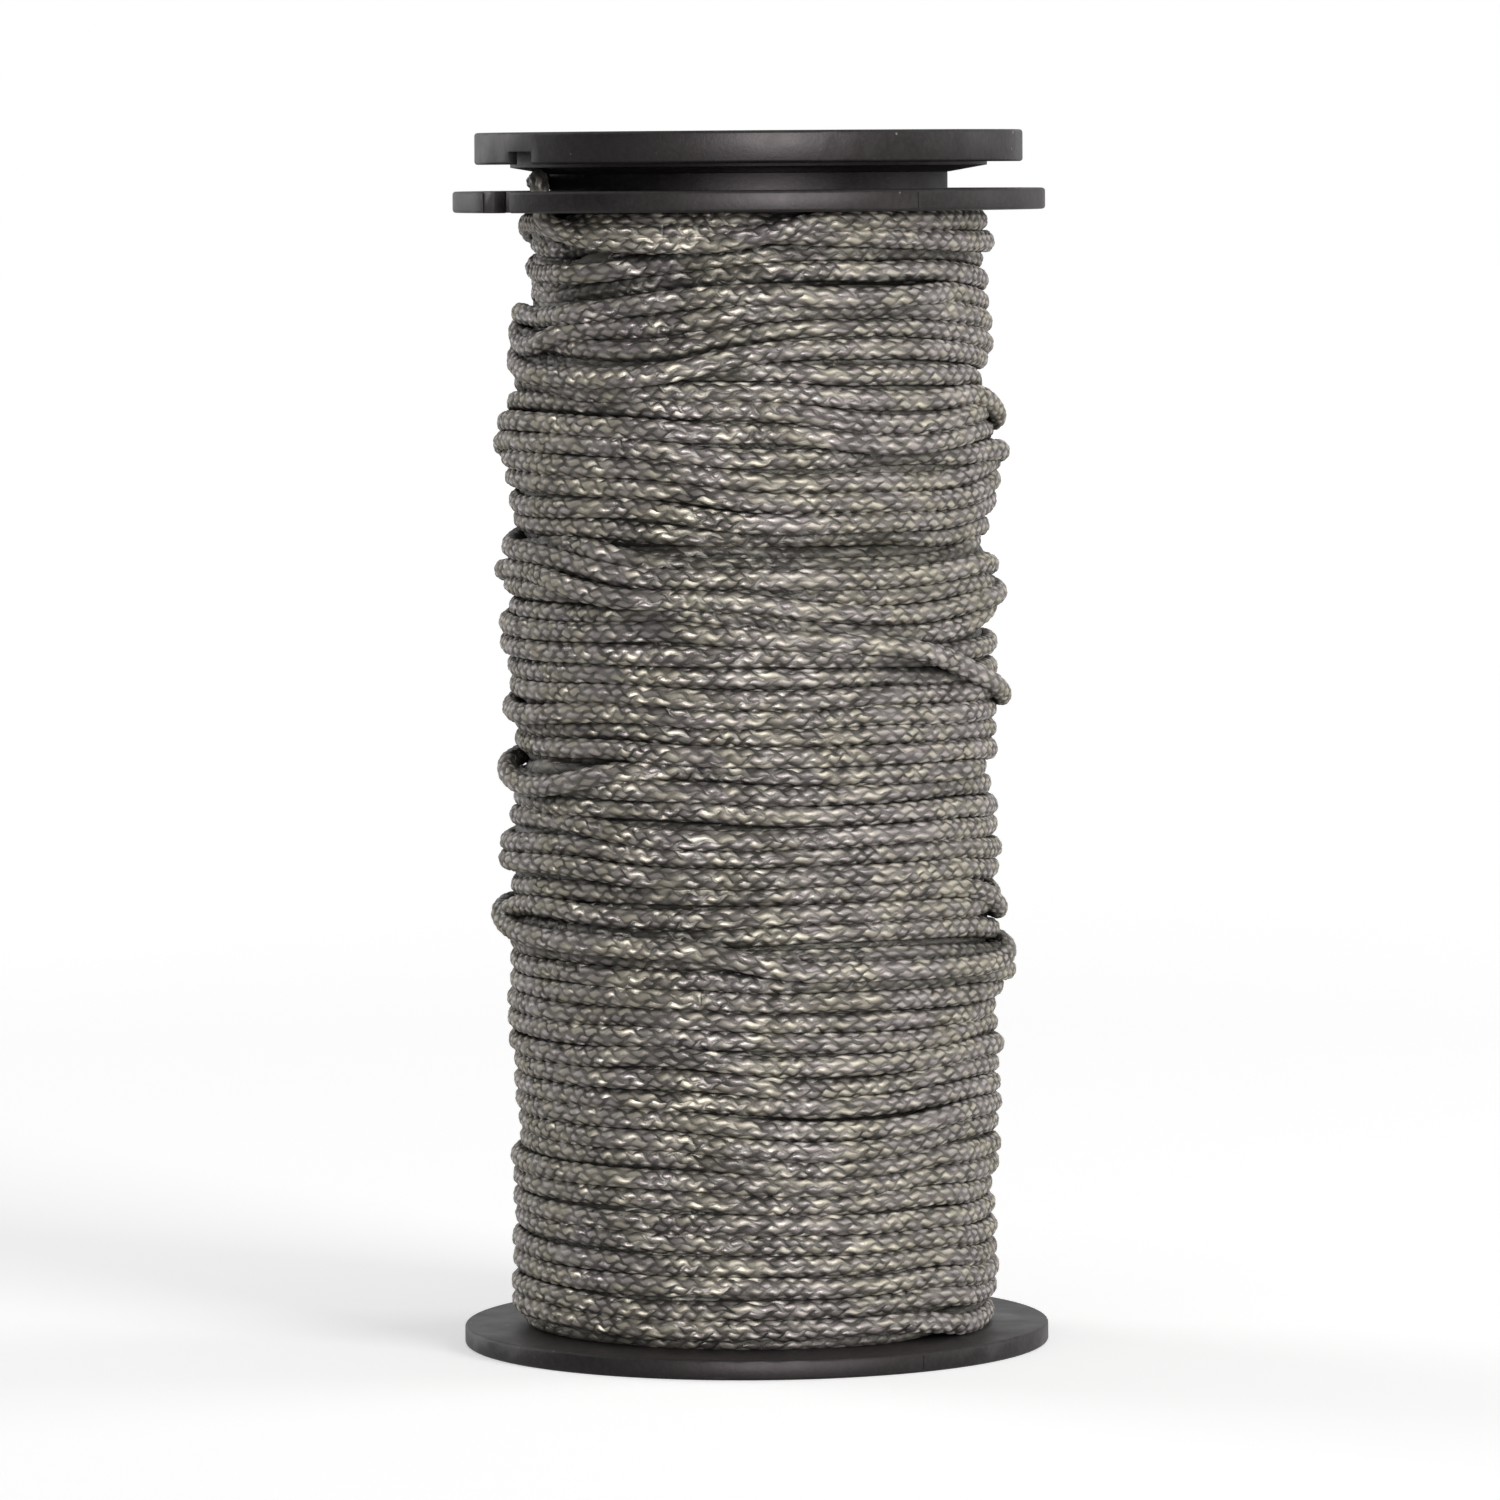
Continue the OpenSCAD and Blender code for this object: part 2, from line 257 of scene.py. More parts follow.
def makeCards(s):
    dark = bpy.data.materials.new("darkCard")
    dark.use_nodes = True
    setInputs(dark.node_tree.nodes["Principled BSDF"],
              {"Base Color": (s["cardShade"],) * 3 + (1,), "Roughness": 1.0,
               "Specular IOR Level": 0.0})
    for name, place, turn, size in s["cards"]:
        pickNone()
        bpy.ops.mesh.primitive_plane_add(size=size, location=place,
                                         rotation=(math.pi / 2, 0, math.radians(turn)))
        card = bpy.context.object
        card.name = name
        card.visible_camera = False
        card.visible_shadow = False
        card.data.materials.append(dark)


def makeWorld(s):
    world = bpy.data.worlds.new("paleWorld")
    bpy.context.scene.world = world
    tree, surface = bareTree(world, "ShaderNodeOutputWorld")
    back = addNode(tree, "ShaderNodeBackground", {"Color": (1, 1, 1, 1)})
    feed(tree, back.inputs["Strength"], ramp(tree, seenRays(tree), 0, 1, s["worldLight"], 1.0))
    tree.links.new(back.outputs[0], surface)


def makeLamps(s):
    for name, place, size, power, lights, mirrored in s["lamps"]:
        data = bpy.data.lights.new(name, "AREA")
        data.shape = "RECTANGLE"
        data.size, data.size_y = size
        data.energy = power
        lamp = bpy.data.objects.new(name, data)
        lamp.location = place
        lamp.visible_diffuse = lights
        lamp.visible_glossy = mirrored
        aim = Vector((0, 0, s["aimHeight"])) - Vector(place)
        lamp.rotation_euler = aim.to_track_quat("-Z", "Y").to_euler()
        bpy.context.scene.collection.objects.link(lamp)


def makeStage(s):
    makeFloor(s)
    makeCards(s)
    makeWorld(s)
    makeLamps(s)
    bpy.context.scene.view_settings.view_transform = "Standard"
    report("stage set")


makeStage(stageSet)


# Line: a braided cord, laid on the barrel in three layers
lineSet = {
    "width": 0.95,            # the cord's own diameter
    "touch": 0.865,           # how close two turns press together, centre to centre
    "samples": 240,           # places round one turn
    "endDirection": 250.6,    # where the last turn ends and the tail begins
    "endRadius": 11.325,
    "endHeight": 52.825,
    "endStretch": 80,         # samples over which the last turn comes to the tail's start
    "firstSeat": 0.46,        # how far the first layer's centre lies above the barrel
    "secondSeat": 10.30,      # radius of the second layer's centre, before swells and lumps
    "sway": 0.16,             # how far whole groups of turns stray together
    "wander": 0.05,           # how far single turns stray
    "loose": 0.11,            # how far slack stretches sink in
    "looseMost": 1.5,         # and how many times that at most
    "lumps": 0.20,            # how far the layers underneath stand up and sink
    # waves over the cylinder: how many, how often round it, how long up it
    "swayWaves": (9, (1, 3), (11, 34)),
    "lumpWaves": (9, (1, 4), (8, 24)),
    # waves along each layer's cord: how many, and how often in one turn
    "wanderWaves": [(6, (0.3, 1.6)), (8, (0.3, 1.8)), (14, (0.3, 2.2))],
    "looseWaves": [(6, (0.2, 0.9)), (8, (0.2, 0.9)), (14, (0.2, 1.0))],
    "calmEdge": 1.2,          # how near a flange turns begin to stray less
    # height, reach up and down, and how much thicker the second layer lies there
    "swells": [(51.6, 2.8, -0.45), (44.6, 2.6, 0.24), (38.9, 1.7, -0.50), (33.6, 2.7, 0.34),
               (27.5, 2.2, -0.50), (19.8, 4.2, 0.26), (11.0, 2.2, -0.15), (4.0, 3.0, -0.10)],
    # turns that are drawn aside: direction and its reach, height and its reach, how far
    "pulls": [(192, 76, 49.6, 3.8, -1.35)],
    "gapShape": (0.15, 2.4),  # how sharply turns part at a gap, and how far up and down
    # turns that part a little: direction and its reach, height, how wide
    "gaps": [(218, 24, 47.6, 0.22), (230, 34, 43.9, 0.22), (315, 28, 38.1, 0.32),
             (322, 44, 32.2, 0.70), (284, 40, 13.4, 0.12), (205, 30, 24.2, 0.14)],
    # where the line stands out or lies deep: direction, its reach, height, its reach, how far
    "bumps": [(184, 80, 48.0, 5.2, -0.85), (180, 70, 49.8, 1.6, -0.60), (312, 30, 31.9, 1.1, -0.60),
              (180, 60, 53.2, 2.4, -0.80), (0, 100, 53.2, 2.4, -0.95),
              (0, 70, 45.3, 2.0, -0.35), (0, 70, 38.6, 1.4, -0.40),
              (0, 60, 31.3, 1.6, 0.25), (0, 60, 23.1, 1.6, 0.28), (0, 60, 17.8, 1.4, 0.30),
              (0, 60, 15.9, 1.2, -0.30), (0, 60, 7.2, 1.3, -0.35), (180, 70, 36.2, 1.1, 0.15),
              (180, 70, 33.6, 1.4, 0.40), (180, 70, 26.5, 1.8, -0.20), (180, 70, 23.2, 1.5, 0.42),
              (180, 70, 15.8, 1.2, 0.20), (180, 70, 10.8, 1.6, -0.35), (180, 70, 13.6, 1.3, -0.15)],
    "cell": 0.08,             # height of a cell in the map of the line's surface
    "crownReach": 5,          # cells over which the map takes the highest turn
    "crownSmooth": ((0, 7), (1, 2)),   # then the axis and reach of its smoothing
    "slide": 0.8,             # how far a turn may slide off its neighbours
    "settle": 30,             # steps in which it does
    "push": 0.08,             # how far in one step
    "nudge": 0.05,            # how far up and down it feels for a lower place
    "lead": 24,               # samples of the turn before that it is joined to
    "squeeze": 0.9,           # share of its height that a turn keeps, pressed on those under it
    "tautSteps": 120,         # steps in which a turn is pulled taut over hollows
    "sinkMost": 0.10,         # how far smoothing may let it sink
    # reaches of smoothing, in samples
    "smoothPlan": 9,
    "smoothPush": 12,
    "smoothHeight": 5,
    "smoothRadius": 6,
    "smoothLaid": (6, 4),     # of the whole layer's height and radius
    "proud": (11.75, 0.4),    # past this radius a turn is pulled in to this share
    "paintedGrooveShadeDepth": 0.38,      # how deep the tail counts as lying, so that painted shade darkens it in the groove
    "seed": 7,
}


def fields(rng, count, turnsRange, heightRange):
    # smooth bumps over the cylinder: waves round it and along it
    return [(rng.integers(turnsRange[0], turnsRange[1] + 1),
             fullTurn / rng.uniform(*heightRange) * rng.choice([-1, 1]),
             rng.uniform(0, fullTurn), rng.uniform(0.5, 1)) for i in range(count)]


def fieldAt(waves, angle, z):
    total = sum(a * np.cos(m * angle + q * z + p) for m, q, p, a in waves)
    return total / math.sqrt(sum(a * a for m, q, p, a in waves) / 2)


def bell(x):
    return 0.5 + 0.5 * np.cos(math.pi * np.clip(x, -1, 1))


def wandering(rng, count, rates):
    return [(fullTurn * rng.uniform(*rates), rng.uniform(0, fullTurn), rng.uniform(0.5, 1))
            for i in range(count)]


def wanderAt(waves, t):
    total = sum(a * np.cos(f * t + p) for f, p, a in waves)
    return total / math.sqrt(sum(a * a for f, p, a in waves) / 2)


# Legs of each layer's guide: turns taken, and the height reached at their end. The outer
# layer falls back twice and goes over itself.
def guideLegs(c):
    low, high = lineLimits(c)
    first = [(0, low), (24.8, 24.5), (2.4, 30.0), (6.9, 36.5), (2.0, 41.0), (2.8, 43.8),
             (2.6, 47.2), (4.4, high)]
    second = [(0, high), (1.4, 50.4), (2.6, 47.0), (46, low)]
    outer = [(0, low), (18.6, 18.2), (1.8, 21.6), (1.25, 18.4), (0.085, 20.0), (1.0, 21.7),
             (10.3, 31.0), (4.42, 37.4), (0.46, 37.8), (0.495, 30.2), (0.219, 34.6),
             (2.6, 38.0), (16.999, high), (1.5, c["endHeight"])]
    return first, second, outer


def guide(legs, t):
    turns = np.cumsum([leg[0] for leg in legs])
    return np.interp(t, turns, [leg[1] for leg in legs])


def smoothed(values, reach):
    if reach < 1:
        return values
    kernel = np.hanning(2 * reach + 3)[1:-1]
    padded = np.concatenate([np.full(reach, values[0]), values, np.full(reach, values[-1])])
    return np.convolve(padded, kernel / kernel.sum(), mode="valid")


def restOn(c, z, floor, layZ, layR):
    # the least radius at which a turn at height z clears the floor and all that lies there
    if not len(layZ):
        return floor + 0 * z
    gap = c["touch"] * c["touch"] - (z[None, :] - layZ) ** 2
    over = np.where(gap > 0, layR + c["squeeze"] * np.sqrt(np.maximum(gap, 0)), 0)
    return np.maximum(floor, over.max(axis=0))


def turnedFrom(angle, direction):
    # degrees from a direction, -180 to 180
    return (np.degrees(angle) - direction + 180) % 360 - 180


def lineLimits(c):
    return spool["baseTop"] + c["width"] / 2, spool["flangeUnder"] - c["width"] / 2


def aimedHeights(c, legs, t, angle, sway, wander):
    # where each place of the cord would lie if nothing were in its way
    low, high = lineLimits(c)
    plan = smoothed(guide(legs, t), c["smoothPlan"])
    ease = np.clip(np.minimum(plan - low, high - plan) / c["calmEdge"], 0, 1)
    aim = plan + ease * (c["sway"] * fieldAt(sway, angle, plan) + c["wander"] * wanderAt(wander, t))
    for direction, reach, height, tall, amount in c["pulls"]:
        turned = turnedFrom(angle, direction)
        aim = aim + amount * bell(turned / reach) * bell((plan - height) / tall)
    sharp, far = c["gapShape"]
    for direction, reach, height, wide in c["gaps"]:
        turned = turnedFrom(angle, direction)
        side = plan - height
        aim = aim + wide / 2 * bell(turned / reach) * np.tanh(side / sharp) * bell(side / far)
    return np.clip(aim, low, high)


def slidTurn(c, goal, before, floor, layZ, layR):
    # a turn slides to where it finds a lower seat, and stays joined to the turn before
    low, high = lineLimits(c)
    here = goal.copy()
    for step in range(c["settle"]):
        up = restOn(c, here + c["nudge"], floor, layZ, layR)
        down = restOn(c, here - c["nudge"], floor, layZ, layR)
        push = np.clip((down - up) / (2 * c["nudge"]), -1, 1) * c["push"]
        here = here + smoothed(push, c["smoothPush"])
        here = np.clip(here, goal - c["slide"], goal + c["slide"])
        here = smoothed(np.concatenate([before, here]), c["smoothHeight"])[-len(goal):]
        here = np.clip(here, low, high)
    return here


def tautTurn(c, lowest, before):
    # pulled taut, the cord bridges hollows
    radius = lowest.copy()
    previous = before[-1] if len(before) else radius[0]
    for step in range(c["tautSteps"]):
        left = np.concatenate([[previous], radius[:-1]])
        right = np.concatenate([radius[1:], [radius[-1]]])
        chord = 2 * left * right * math.cos(fullTurn / c["samples"]) / (left + right)
        radius = np.maximum(lowest, chord)
    eased = smoothed(np.concatenate([before, radius]), c["smoothRadius"])[-len(lowest):]
    eased = np.maximum(eased, lowest - c["sinkMost"])
    limit, share = c["proud"]
    return np.where(eased > limit, limit + (eased - limit) * share, eased)


def layTurns(c, legs, startAngle, under, floorAt, sway, wander, loose):
    n = c["samples"]
    count = int(round(sum(leg[0] for leg in legs) * n)) + 1
    t = np.arange(count) / n
    angle = startAngle - fullTurn * t
    column = (np.arange(count) + int(round(-startAngle / fullTurn * n))) % n
    aim = aimedHeights(c, legs, t, angle, sway, wander)
    # earlier turns, one row each, held by column
    layZ = [row for row in under[0]]
    layR = [row for row in under[1]]
    z = np.empty(count)
    r = np.empty(count)
    for done in range(0, count, n):
        part = slice(done, min(done + n, count))
        lead = slice(max(0, done - c["lead"]), done)
        cols = column[part]
        zs = np.array(layZ)[:, cols] if layZ else []
        rs = np.array(layR)[:, cols] if layR else []
        floor = floorAt(angle[part], aim[part])
        z[part] = slidTurn(c, aim[part], z[lead], floor, zs, rs)
        taut = tautTurn(c, restOn(c, z[part], floor, zs, rs), r[lead])
        r[part] = taut - c["loose"] * np.clip(wanderAt(loose, t[part]), 0, c["looseMost"])
        rowZ = np.full(n, -99.0)    # far below, where the turn has no cord
        rowR = np.full(n, 0.0)
        rowZ[cols] = z[part]
        rowR[cols] = r[part]
        layZ.append(rowZ)
        layR.append(rowR)
    smoothZ, smoothR = c["smoothLaid"]
    return {"angle": angle, "z": smoothed(z, smoothZ), "r": smoothed(r, smoothR),
            "rowsZ": layZ[len(under[0]):], "rowsR": layR[len(under[1]):]}


def pushInAndOut(c, layer):
    for direction, around, height, reach, amount in c["bumps"]:
        turned = turnedFrom(layer["angle"], direction)
        layer["r"] += amount * bell(turned / around) * bell((layer["z"] - height) / reach)
    layer["r"] = np.maximum(layer["r"], spool["barrelRadius"] + c["width"] / 2)


def meetTail(c, layer):
    # bring the last stretch to where the tail begins
    size = c["endStretch"]
    fade = np.clip((np.arange(len(layer["z"])) - (len(layer["z"]) - size)) / size, 0, 1)
    fade = fade * fade * (3 - 2 * fade)
    layer["z"] = layer["z"] + fade * (c["endHeight"] - layer["z"])
    layer["r"] = layer["r"] + fade * (c["endRadius"] - layer["r"])


def layLine(c):
    rng = np.random.default_rng(c["seed"])
    sway = fields(rng, *c["swayWaves"])
    lumps = fields(rng, *c["lumpWaves"])

    def barrelFloor(angle, z):
        return np.full(len(z), spool["barrelRadius"] + c["firstSeat"])

    def lumpyFloor(angle, z):
        swell = sum(amount * bell((z - height) / reach) for height, reach, amount in c["swells"])
        lumpy = c["secondSeat"] + swell + c["lumps"] * fieldAt(lumps, angle, z)
        return np.maximum(barrelFloor(angle, z), lumpy)

    # each layer starts above the end of the one under it, a step further out and not joined to it
    guides = guideLegs(c)
    starts = [math.radians(c["endDirection"])]
    for legs in reversed(guides):
        starts.insert(0, starts[0] + fullTurn * sum(leg[0] for leg in legs))
    under = ([], [])
    layers = []
    for legs, start, floorAt, wanders, looses in zip(
            guides, starts, (barrelFloor, lumpyFloor, barrelFloor), c["wanderWaves"], c["looseWaves"]):
        layer = layTurns(c, legs, start, under, floorAt, sway,
                         wandering(rng, *wanders), wandering(rng, *looses))
        under = (under[0] + layer["rowsZ"], under[1] + layer["rowsR"])
        layers.append(layer)
    for layer in layers[1:]:
        pushInAndOut(c, layer)
    meetTail(c, layers[-1])
    for name, layer in zip(("first", "second", "outer"), layers):
        a, z, r = layer["angle"], layer["z"], layer["r"]
        layer["path"] = np.stack([r * np.cos(a), r * np.sin(a), z], axis=1)
        length = np.linalg.norm(np.diff(layer["path"], axis=0), axis=1).sum()
        report("%s layer: %.1f turns, %.2f m, centre radius %s" % (
            name, len(z) / c["samples"], length / 1000,
            np.percentile(r, [0, 5, 25, 50, 75, 95, 100]).round(2)))
    return layers


# The braid: eight columns of plaits round the cord, leaning left and right by turns
braidSet = {
    "plait": 0.90,            # length of one plait along the cord
    "columns": 8,
    "lean": 0.56,             # how far a plait's ends slant, in plaits across one column
    "tilt": 0.62,             # how far a plait lies across its column, in columns over its length
    "zigzag": 0.17,           # how far a column waves from side to side at each plait, in columns
    "relief": 0.085,          # how far plaits stand up
    "square": 2.6,            # how flat a plait's dome is, and how steep its sides
    "heights": (0.60, 1.15),  # the lowest plait and the highest, as shares of the relief
    "diceRows": 499,          # plaits along the cord before the heights repeat
    "diceSeed": 11,
    # plaits run ahead and fall back: how far, how fast in each plait, and where it starts
    "slowPace": [(0.22, 0.61, 0), (0.16, 0.173, 1)],
    "quickPace": [(0.12, 1.13, 2)],
    # for each layer from the hidden first one out: rings for each plait, and sides on the
    # half of the cord that faces out and on the half that lies on the layers underneath
    "rings": (0.7, 3, 8),
    "sides": ((6, 2), (8, 2), (14, 4)),
    "faceOut": 112,           # how far each way the outer half reaches, in degrees
    "pieceRings": 5200,       # rings in one piece of the outer layer
    "flat": (0.95, 1.01),     # the cord's section, outward and aside, as shares of its width
    "swell": 0.035,           # how far the cord grows thicker and thinner along its length
    "swellLengths": (3.1, 7.7),
    # the cord rolls a little: how far, in how many waves, of which sizes and lengths
    "roll": 0.15,
    "rollWaves": 4,
    "rollSizes": (0.4, 1.0),
    "rollLengths": (18, 60),
}


def resampled(path, step):
    lengths = np.concatenate([[0], np.cumsum(np.linalg.norm(np.diff(path, axis=0), axis=1))])
    count = max(2, int(round(lengths[-1] / step)))
    marks = np.linspace(0, lengths[-1], count + 1)
    # a smooth curve through the samples
    slopes = np.gradient(path, lengths, axis=0)
    spot = np.clip(np.searchsorted(lengths, marks, side="right") - 1, 0, len(lengths) - 2)
    span = lengths[spot + 1] - lengths[spot]
    f = ((marks - lengths[spot]) / span)[:, None]
    span = span[:, None]
    a, b = path[spot], path[spot + 1]
    curve = ((2 * f ** 3 - 3 * f ** 2 + 1) * a + (f ** 3 - 2 * f ** 2 + f) * span * slopes[spot]
             + (-2 * f ** 3 + 3 * f ** 2) * b + (f ** 3 - f ** 2) * span * slopes[spot + 1])
    return curve, marks


def unitRows(v):
    return v / np.linalg.norm(v, axis=1, keepdims=True)


def tubeFrames(points):
    tangent = unitRows(np.gradient(points, axis=0))
    outward = points * np.array([1, 1, 0])
    outward = outward - (outward * tangent).sum(axis=1, keepdims=True) * tangent
    outward = unitRows(outward)
    return outward, np.cross(tangent, outward)


def sectionAngles(b, sides):
    # directions round the cord's section, 0 facing out from the spool, the seam facing in
    half = math.radians(b["faceOut"])
    front = np.linspace(-half, half, sides[0])
    back = np.linspace(half, fullTurn - half, sides[1] + 2)[1:-1]
    return np.concatenate([front, back])


def coverMap(c, layers):
    # how far out the line reaches: rows up the spool, columns round it
    half, n, cell = c["width"] / 2, c["samples"], c["cell"]
    rows = int(spool["flangeUnder"] / cell) + 2
    top = np.full((rows, n), spool["barrelRadius"] + 0.0)
    reach = int(half / cell)
    for layer in layers:
        column = np.round(layer["angle"] / fullTurn * n).astype(int) % n
        for k in range(-reach, reach + 1):
            row = np.clip(np.round(layer["z"] / cell).astype(int) + k, 0, rows - 1)
            away = row * cell - layer["z"]
            out = layer["r"] + np.sqrt(np.maximum(half ** 2 - away ** 2, 0))
            np.maximum.at(top, (row, column), out)
    # the crowns of the turns, joined smoothly
    crowns = top.copy()
    for k in range(-c["crownReach"], c["crownReach"] + 1):
        crowns = np.maximum(crowns, np.roll(top, k, axis=0))
    for axis, spread in c["crownSmooth"]:
        weights = np.hanning(2 * spread + 3)[1:-1]
        crowns = sum(w * np.roll(crowns, k, axis=axis)
                     for w, k in zip(weights / weights.sum(), range(-spread, spread + 1)))
    return crowns


def depthBelow(c, crowns, co):
    # how far a point lies below the turns' crowns, which the braid reads to paint shade between the
    # turns
    column = np.round(np.arctan2(co[:, 1], co[:, 0]) / fullTurn * c["samples"]).astype(int)
    row = np.clip(np.round(co[:, 2] / c["cell"]).astype(int), 0, len(crowns) - 1)
    depth = crowns[row, column % c["samples"]] - np.hypot(co[:, 0], co[:, 1])
    # in the groove under the cap a fixed depth is given, so the tail gets painted shade there
    return np.where(co[:, 2] > spool["flangeUnder"], c["paintedGrooveShadeDepth"], depth)


def plaitHeights(u, v, b, dice):
    # each plait is a dome, higher or lower by chance
    column = np.round(v)
    across = v - column
    parity = column % 2
    slanted = u + across * (2 * parity - 1) * b["lean"] + 0.5 * parity + 0.5
    plait = np.floor(slanted)
    along = slanted - plait - 0.5
    aside = across - (2 * parity - 1) * b["tilt"] * along
    dome = ((1 - np.abs(2 * along) ** b["square"])
            * np.maximum(0, 1 - np.abs(2 * aside) ** b["square"]))
    return dome * dice[plait.astype(int) % dice.shape[0], column.astype(int) % dice.shape[1]]


def paced(pitch, waves):
    # the plaits run ahead and fall back by turns
    uneven = pitch
    for amount, rate, start in waves:
        uneven = uneven + amount * np.sin(pitch * rate + start)
    return uneven


def tubeMesh(name, co, u, v, rings, sides):
    # quads along the cord and one face at each end, with the braid's own UVs
    ring, side = np.meshgrid(np.arange(rings - 1), np.arange(sides), indexing="ij")
    nextSide = (side + 1) % sides
    quads = np.stack([ring * sides + side, ring * sides + nextSide,
                      (ring + 1) * sides + nextSide, (ring + 1) * sides + side], axis=-1)
    quads = quads.reshape(-1, 4)
    corners = ((ring, side), (ring, side + 1), (ring + 1, side + 1), (ring + 1, side))
    uv = np.stack([np.stack([u[i, j].ravel(), v[i, j].ravel()], -1) for i, j in corners], axis=1)
    uv = np.concatenate([uv.reshape(-1, 2), np.zeros((2 * sides, 2))])
    firstEnd = np.arange(sides)[::-1]
    lastEnd = (rings - 1) * sides + np.arange(sides)
    loops = np.concatenate([quads.ravel(), firstEnd, lastEnd]).astype(np.int32)
    starts = np.concatenate([np.arange(len(quads)) * 4,
                             [len(quads) * 4, len(quads) * 4 + sides]]).astype(np.int32)
    mesh = bpy.data.meshes.new(name)
    mesh.vertices.add(len(co))
    mesh.vertices.foreach_set("co", (co * mm).astype(np.float32).ravel())
    mesh.loops.add(len(loops))
    mesh.loops.foreach_set("vertex_index", loops)
    mesh.polygons.add(len(starts))
    mesh.polygons.foreach_set("loop_start", starts)
    layer = mesh.uv_layers.new(name="Braid")
    layer.data.foreach_set("uv", uv.astype(np.float32).ravel())
    return mesh


def braidedTube(name, points, marks, around, halfWide, halfHigh, twist, relief, b, crowns):
    # points in mm; halfWide and halfHigh are the cord's half sizes outward and aside
    rings, sides = len(points), len(around)
    outward, aside = tubeFrames(points)
    pitch = paced(paced(marks / b["plait"], b["slowPace"]), b["quickPace"])
    u = np.repeat(pitch[:, None], sides + 1, axis=1)
    closed = np.concatenate([around, [around[0] + fullTurn]])
    v = (closed[None, :] - twist[:, None]) / fullTurn * b["columns"]
    v = v + b["zigzag"] * np.sin(fullTurn * u)
    dice = np.random.default_rng(b["diceSeed"]).uniform(*b["heights"], (b["diceRows"], b["columns"]))
    height = plaitHeights(u[:, :-1], v[:, :-1], b, dice) - 0.5
    a = halfWide[:, None] + relief * height
    h = halfHigh[:, None] + relief * height
    co = (points[:, None, :] + (a * np.cos(around))[..., None] * outward[:, None, :]
          + (h * np.sin(around))[..., None] * aside[:, None, :])
    co = co.reshape(-1, 3)
    mesh = tubeMesh(name, co, u, v, rings, sides)
    # depth below the crowns, stored for the braid's painted shade between the turns
    sunk = mesh.attributes.new("depth", "FLOAT", "POINT")
    sunk.data.foreach_set("value", depthBelow(lineSet, crowns, co).astype(np.float32))
    mesh.update(calc_edges=True)
    mesh.shade_smooth()
    piece = bpy.data.objects.new(name, mesh)
    bpy.context.scene.collection.objects.link(piece)
    return piece


# How the braid looks. Sizes along and across a plait are shares of its length and of a column.
braidFinish = {
    "strayScale": 2300,       # uneven outlines of plaits
    "strays": (0.14, 0.11),   # how far, along and across
    "shift": 0.07,            # how far a plait lies off its column's middle, by chance
    "domeShape": 2.2,
    "domeLong": (2.1, 3.3),   # higher is shorter, and each plait is picked between the two
    "domeWide": (2.0, 2.7),
    "fibreNoise": (1.0, 2, 0.6),           # scale, detail and roughness, as for each noise below
    "fibres": (2.4, 9.0),     # how fine fibres are, along and across
    "fibreShift": 90.0,
    "fibreHeight": 0.26,
    "fuzz": (9000, 2, 0.6),
    "fuzzHeight": 0.42,
    "height": 0.055 * mm,
    "askew": 0.90,            # how far single plaits are turned, so that some flash
    "shadeCurve": 2.0,
    "shade": (0.56, 0.98),    # darkest plait and lightest
    "creaseNoise": (1100, 1, 0.5),
    "crease": (0.36, 0.64, 0.16, 0.82),    # two levels of the noise, and a joint's shade at each
    "jointWide": 0.20,
    "jointShare": 0.52,
    "paintedPlaitTop": (0.16, 0.74),    # painted highlight on each plait's top: where it begins and is full
    "paintedPlaitTopShare": 0.48,
    "sunk": (0.12, 0.55, 1.0, 0.16),       # painted shade down between the turns: depths in millimetres below the crowns, and the painted shade at each
    "streaks": (0.30, 0.70, 0.80, 1.08),
    "patchNoise": (620, 2, 0.6),
    "patches": (0.32, 0.68, 0.80, 1.12),
    "hueNoise": (260, 2, 0.6),
    "hueChance": 0.16,
    "hue": (0.35, 0.65),
    "warm": (0.385, 0.351, 0.284, 1),
    "cool": (0.385, 0.345, 0.339, 1),
    # the dark that joints go towards, and the painted shade between the turns
    "dark": (0.026, 0.0236, 0.0180, 1),
    "rough": (0.25, 1.0, 0.66, 0.52),      # plaits are worn a little smoother by chance
    "metal": 0.5,
}


def plaitPlaces(tree, f, here):
    # where a point lies in its plait, along and aside, and the plait's own chances
    u, v = separated(tree, "XYZ", addNode(tree, "ShaderNodeUVMap", uv_map="Braid").outputs[0])[:2]
    stray = addNode(tree, "ShaderNodeTexNoise", {"Scale": f["strayScale"], "Detail": 1})
    tree.links.new(here, stray.inputs["Vector"])
    strayU, strayV = separated(tree, "Color", stray.outputs["Color"])[:2]
    farU, farV = f["strays"]
    u = maths(tree, "ADD", u, ramp(tree, strayU, 0, 1, -farU, farU))
    v = maths(tree, "ADD", v, ramp(tree, strayV, 0, 1, -farV, farV))
    # columns are centred on whole numbers of v, and lean left and right by turns
    shifted = maths(tree, "ADD", v, 0.5)
    column = maths(tree, "FLOOR", shifted)
    across = maths(tree, "SUBTRACT", maths(tree, "FRACT", shifted), 0.5)
    parity = maths(tree, "PINGPONG", column, 1.0)
    lean = maths(tree, "SUBTRACT", maths(tree, "MULTIPLY", parity, 2.0), 1.0)
    slant = maths(tree, "MULTIPLY", maths(tree, "MULTIPLY", across, lean), braidSet["lean"])
    slanted = maths(tree, "ADD", maths(tree, "ADD", u, slant),
                    maths(tree, "ADD", maths(tree, "MULTIPLY", parity, 0.5), 0.5))
    along = maths(tree, "SUBTRACT", maths(tree, "FRACT", slanted), 0.5)
    dice = addNode(tree, "ShaderNodeTexWhiteNoise", noise_dimensions="3D")
    tree.links.new(combined(tree, maths(tree, "FLOOR", slanted), column), dice.inputs["Vector"])
    third = separated(tree, "Color", dice.outputs["Color"])[2]
    tilted = maths(tree, "MULTIPLY", maths(tree, "MULTIPLY", along, lean), braidSet["tilt"])
    aside = maths(tree, "ADD", maths(tree, "SUBTRACT", across, tilted),
                  ramp(tree, third, 0, 1, -f["shift"], f["shift"]))
    return along, aside, dice


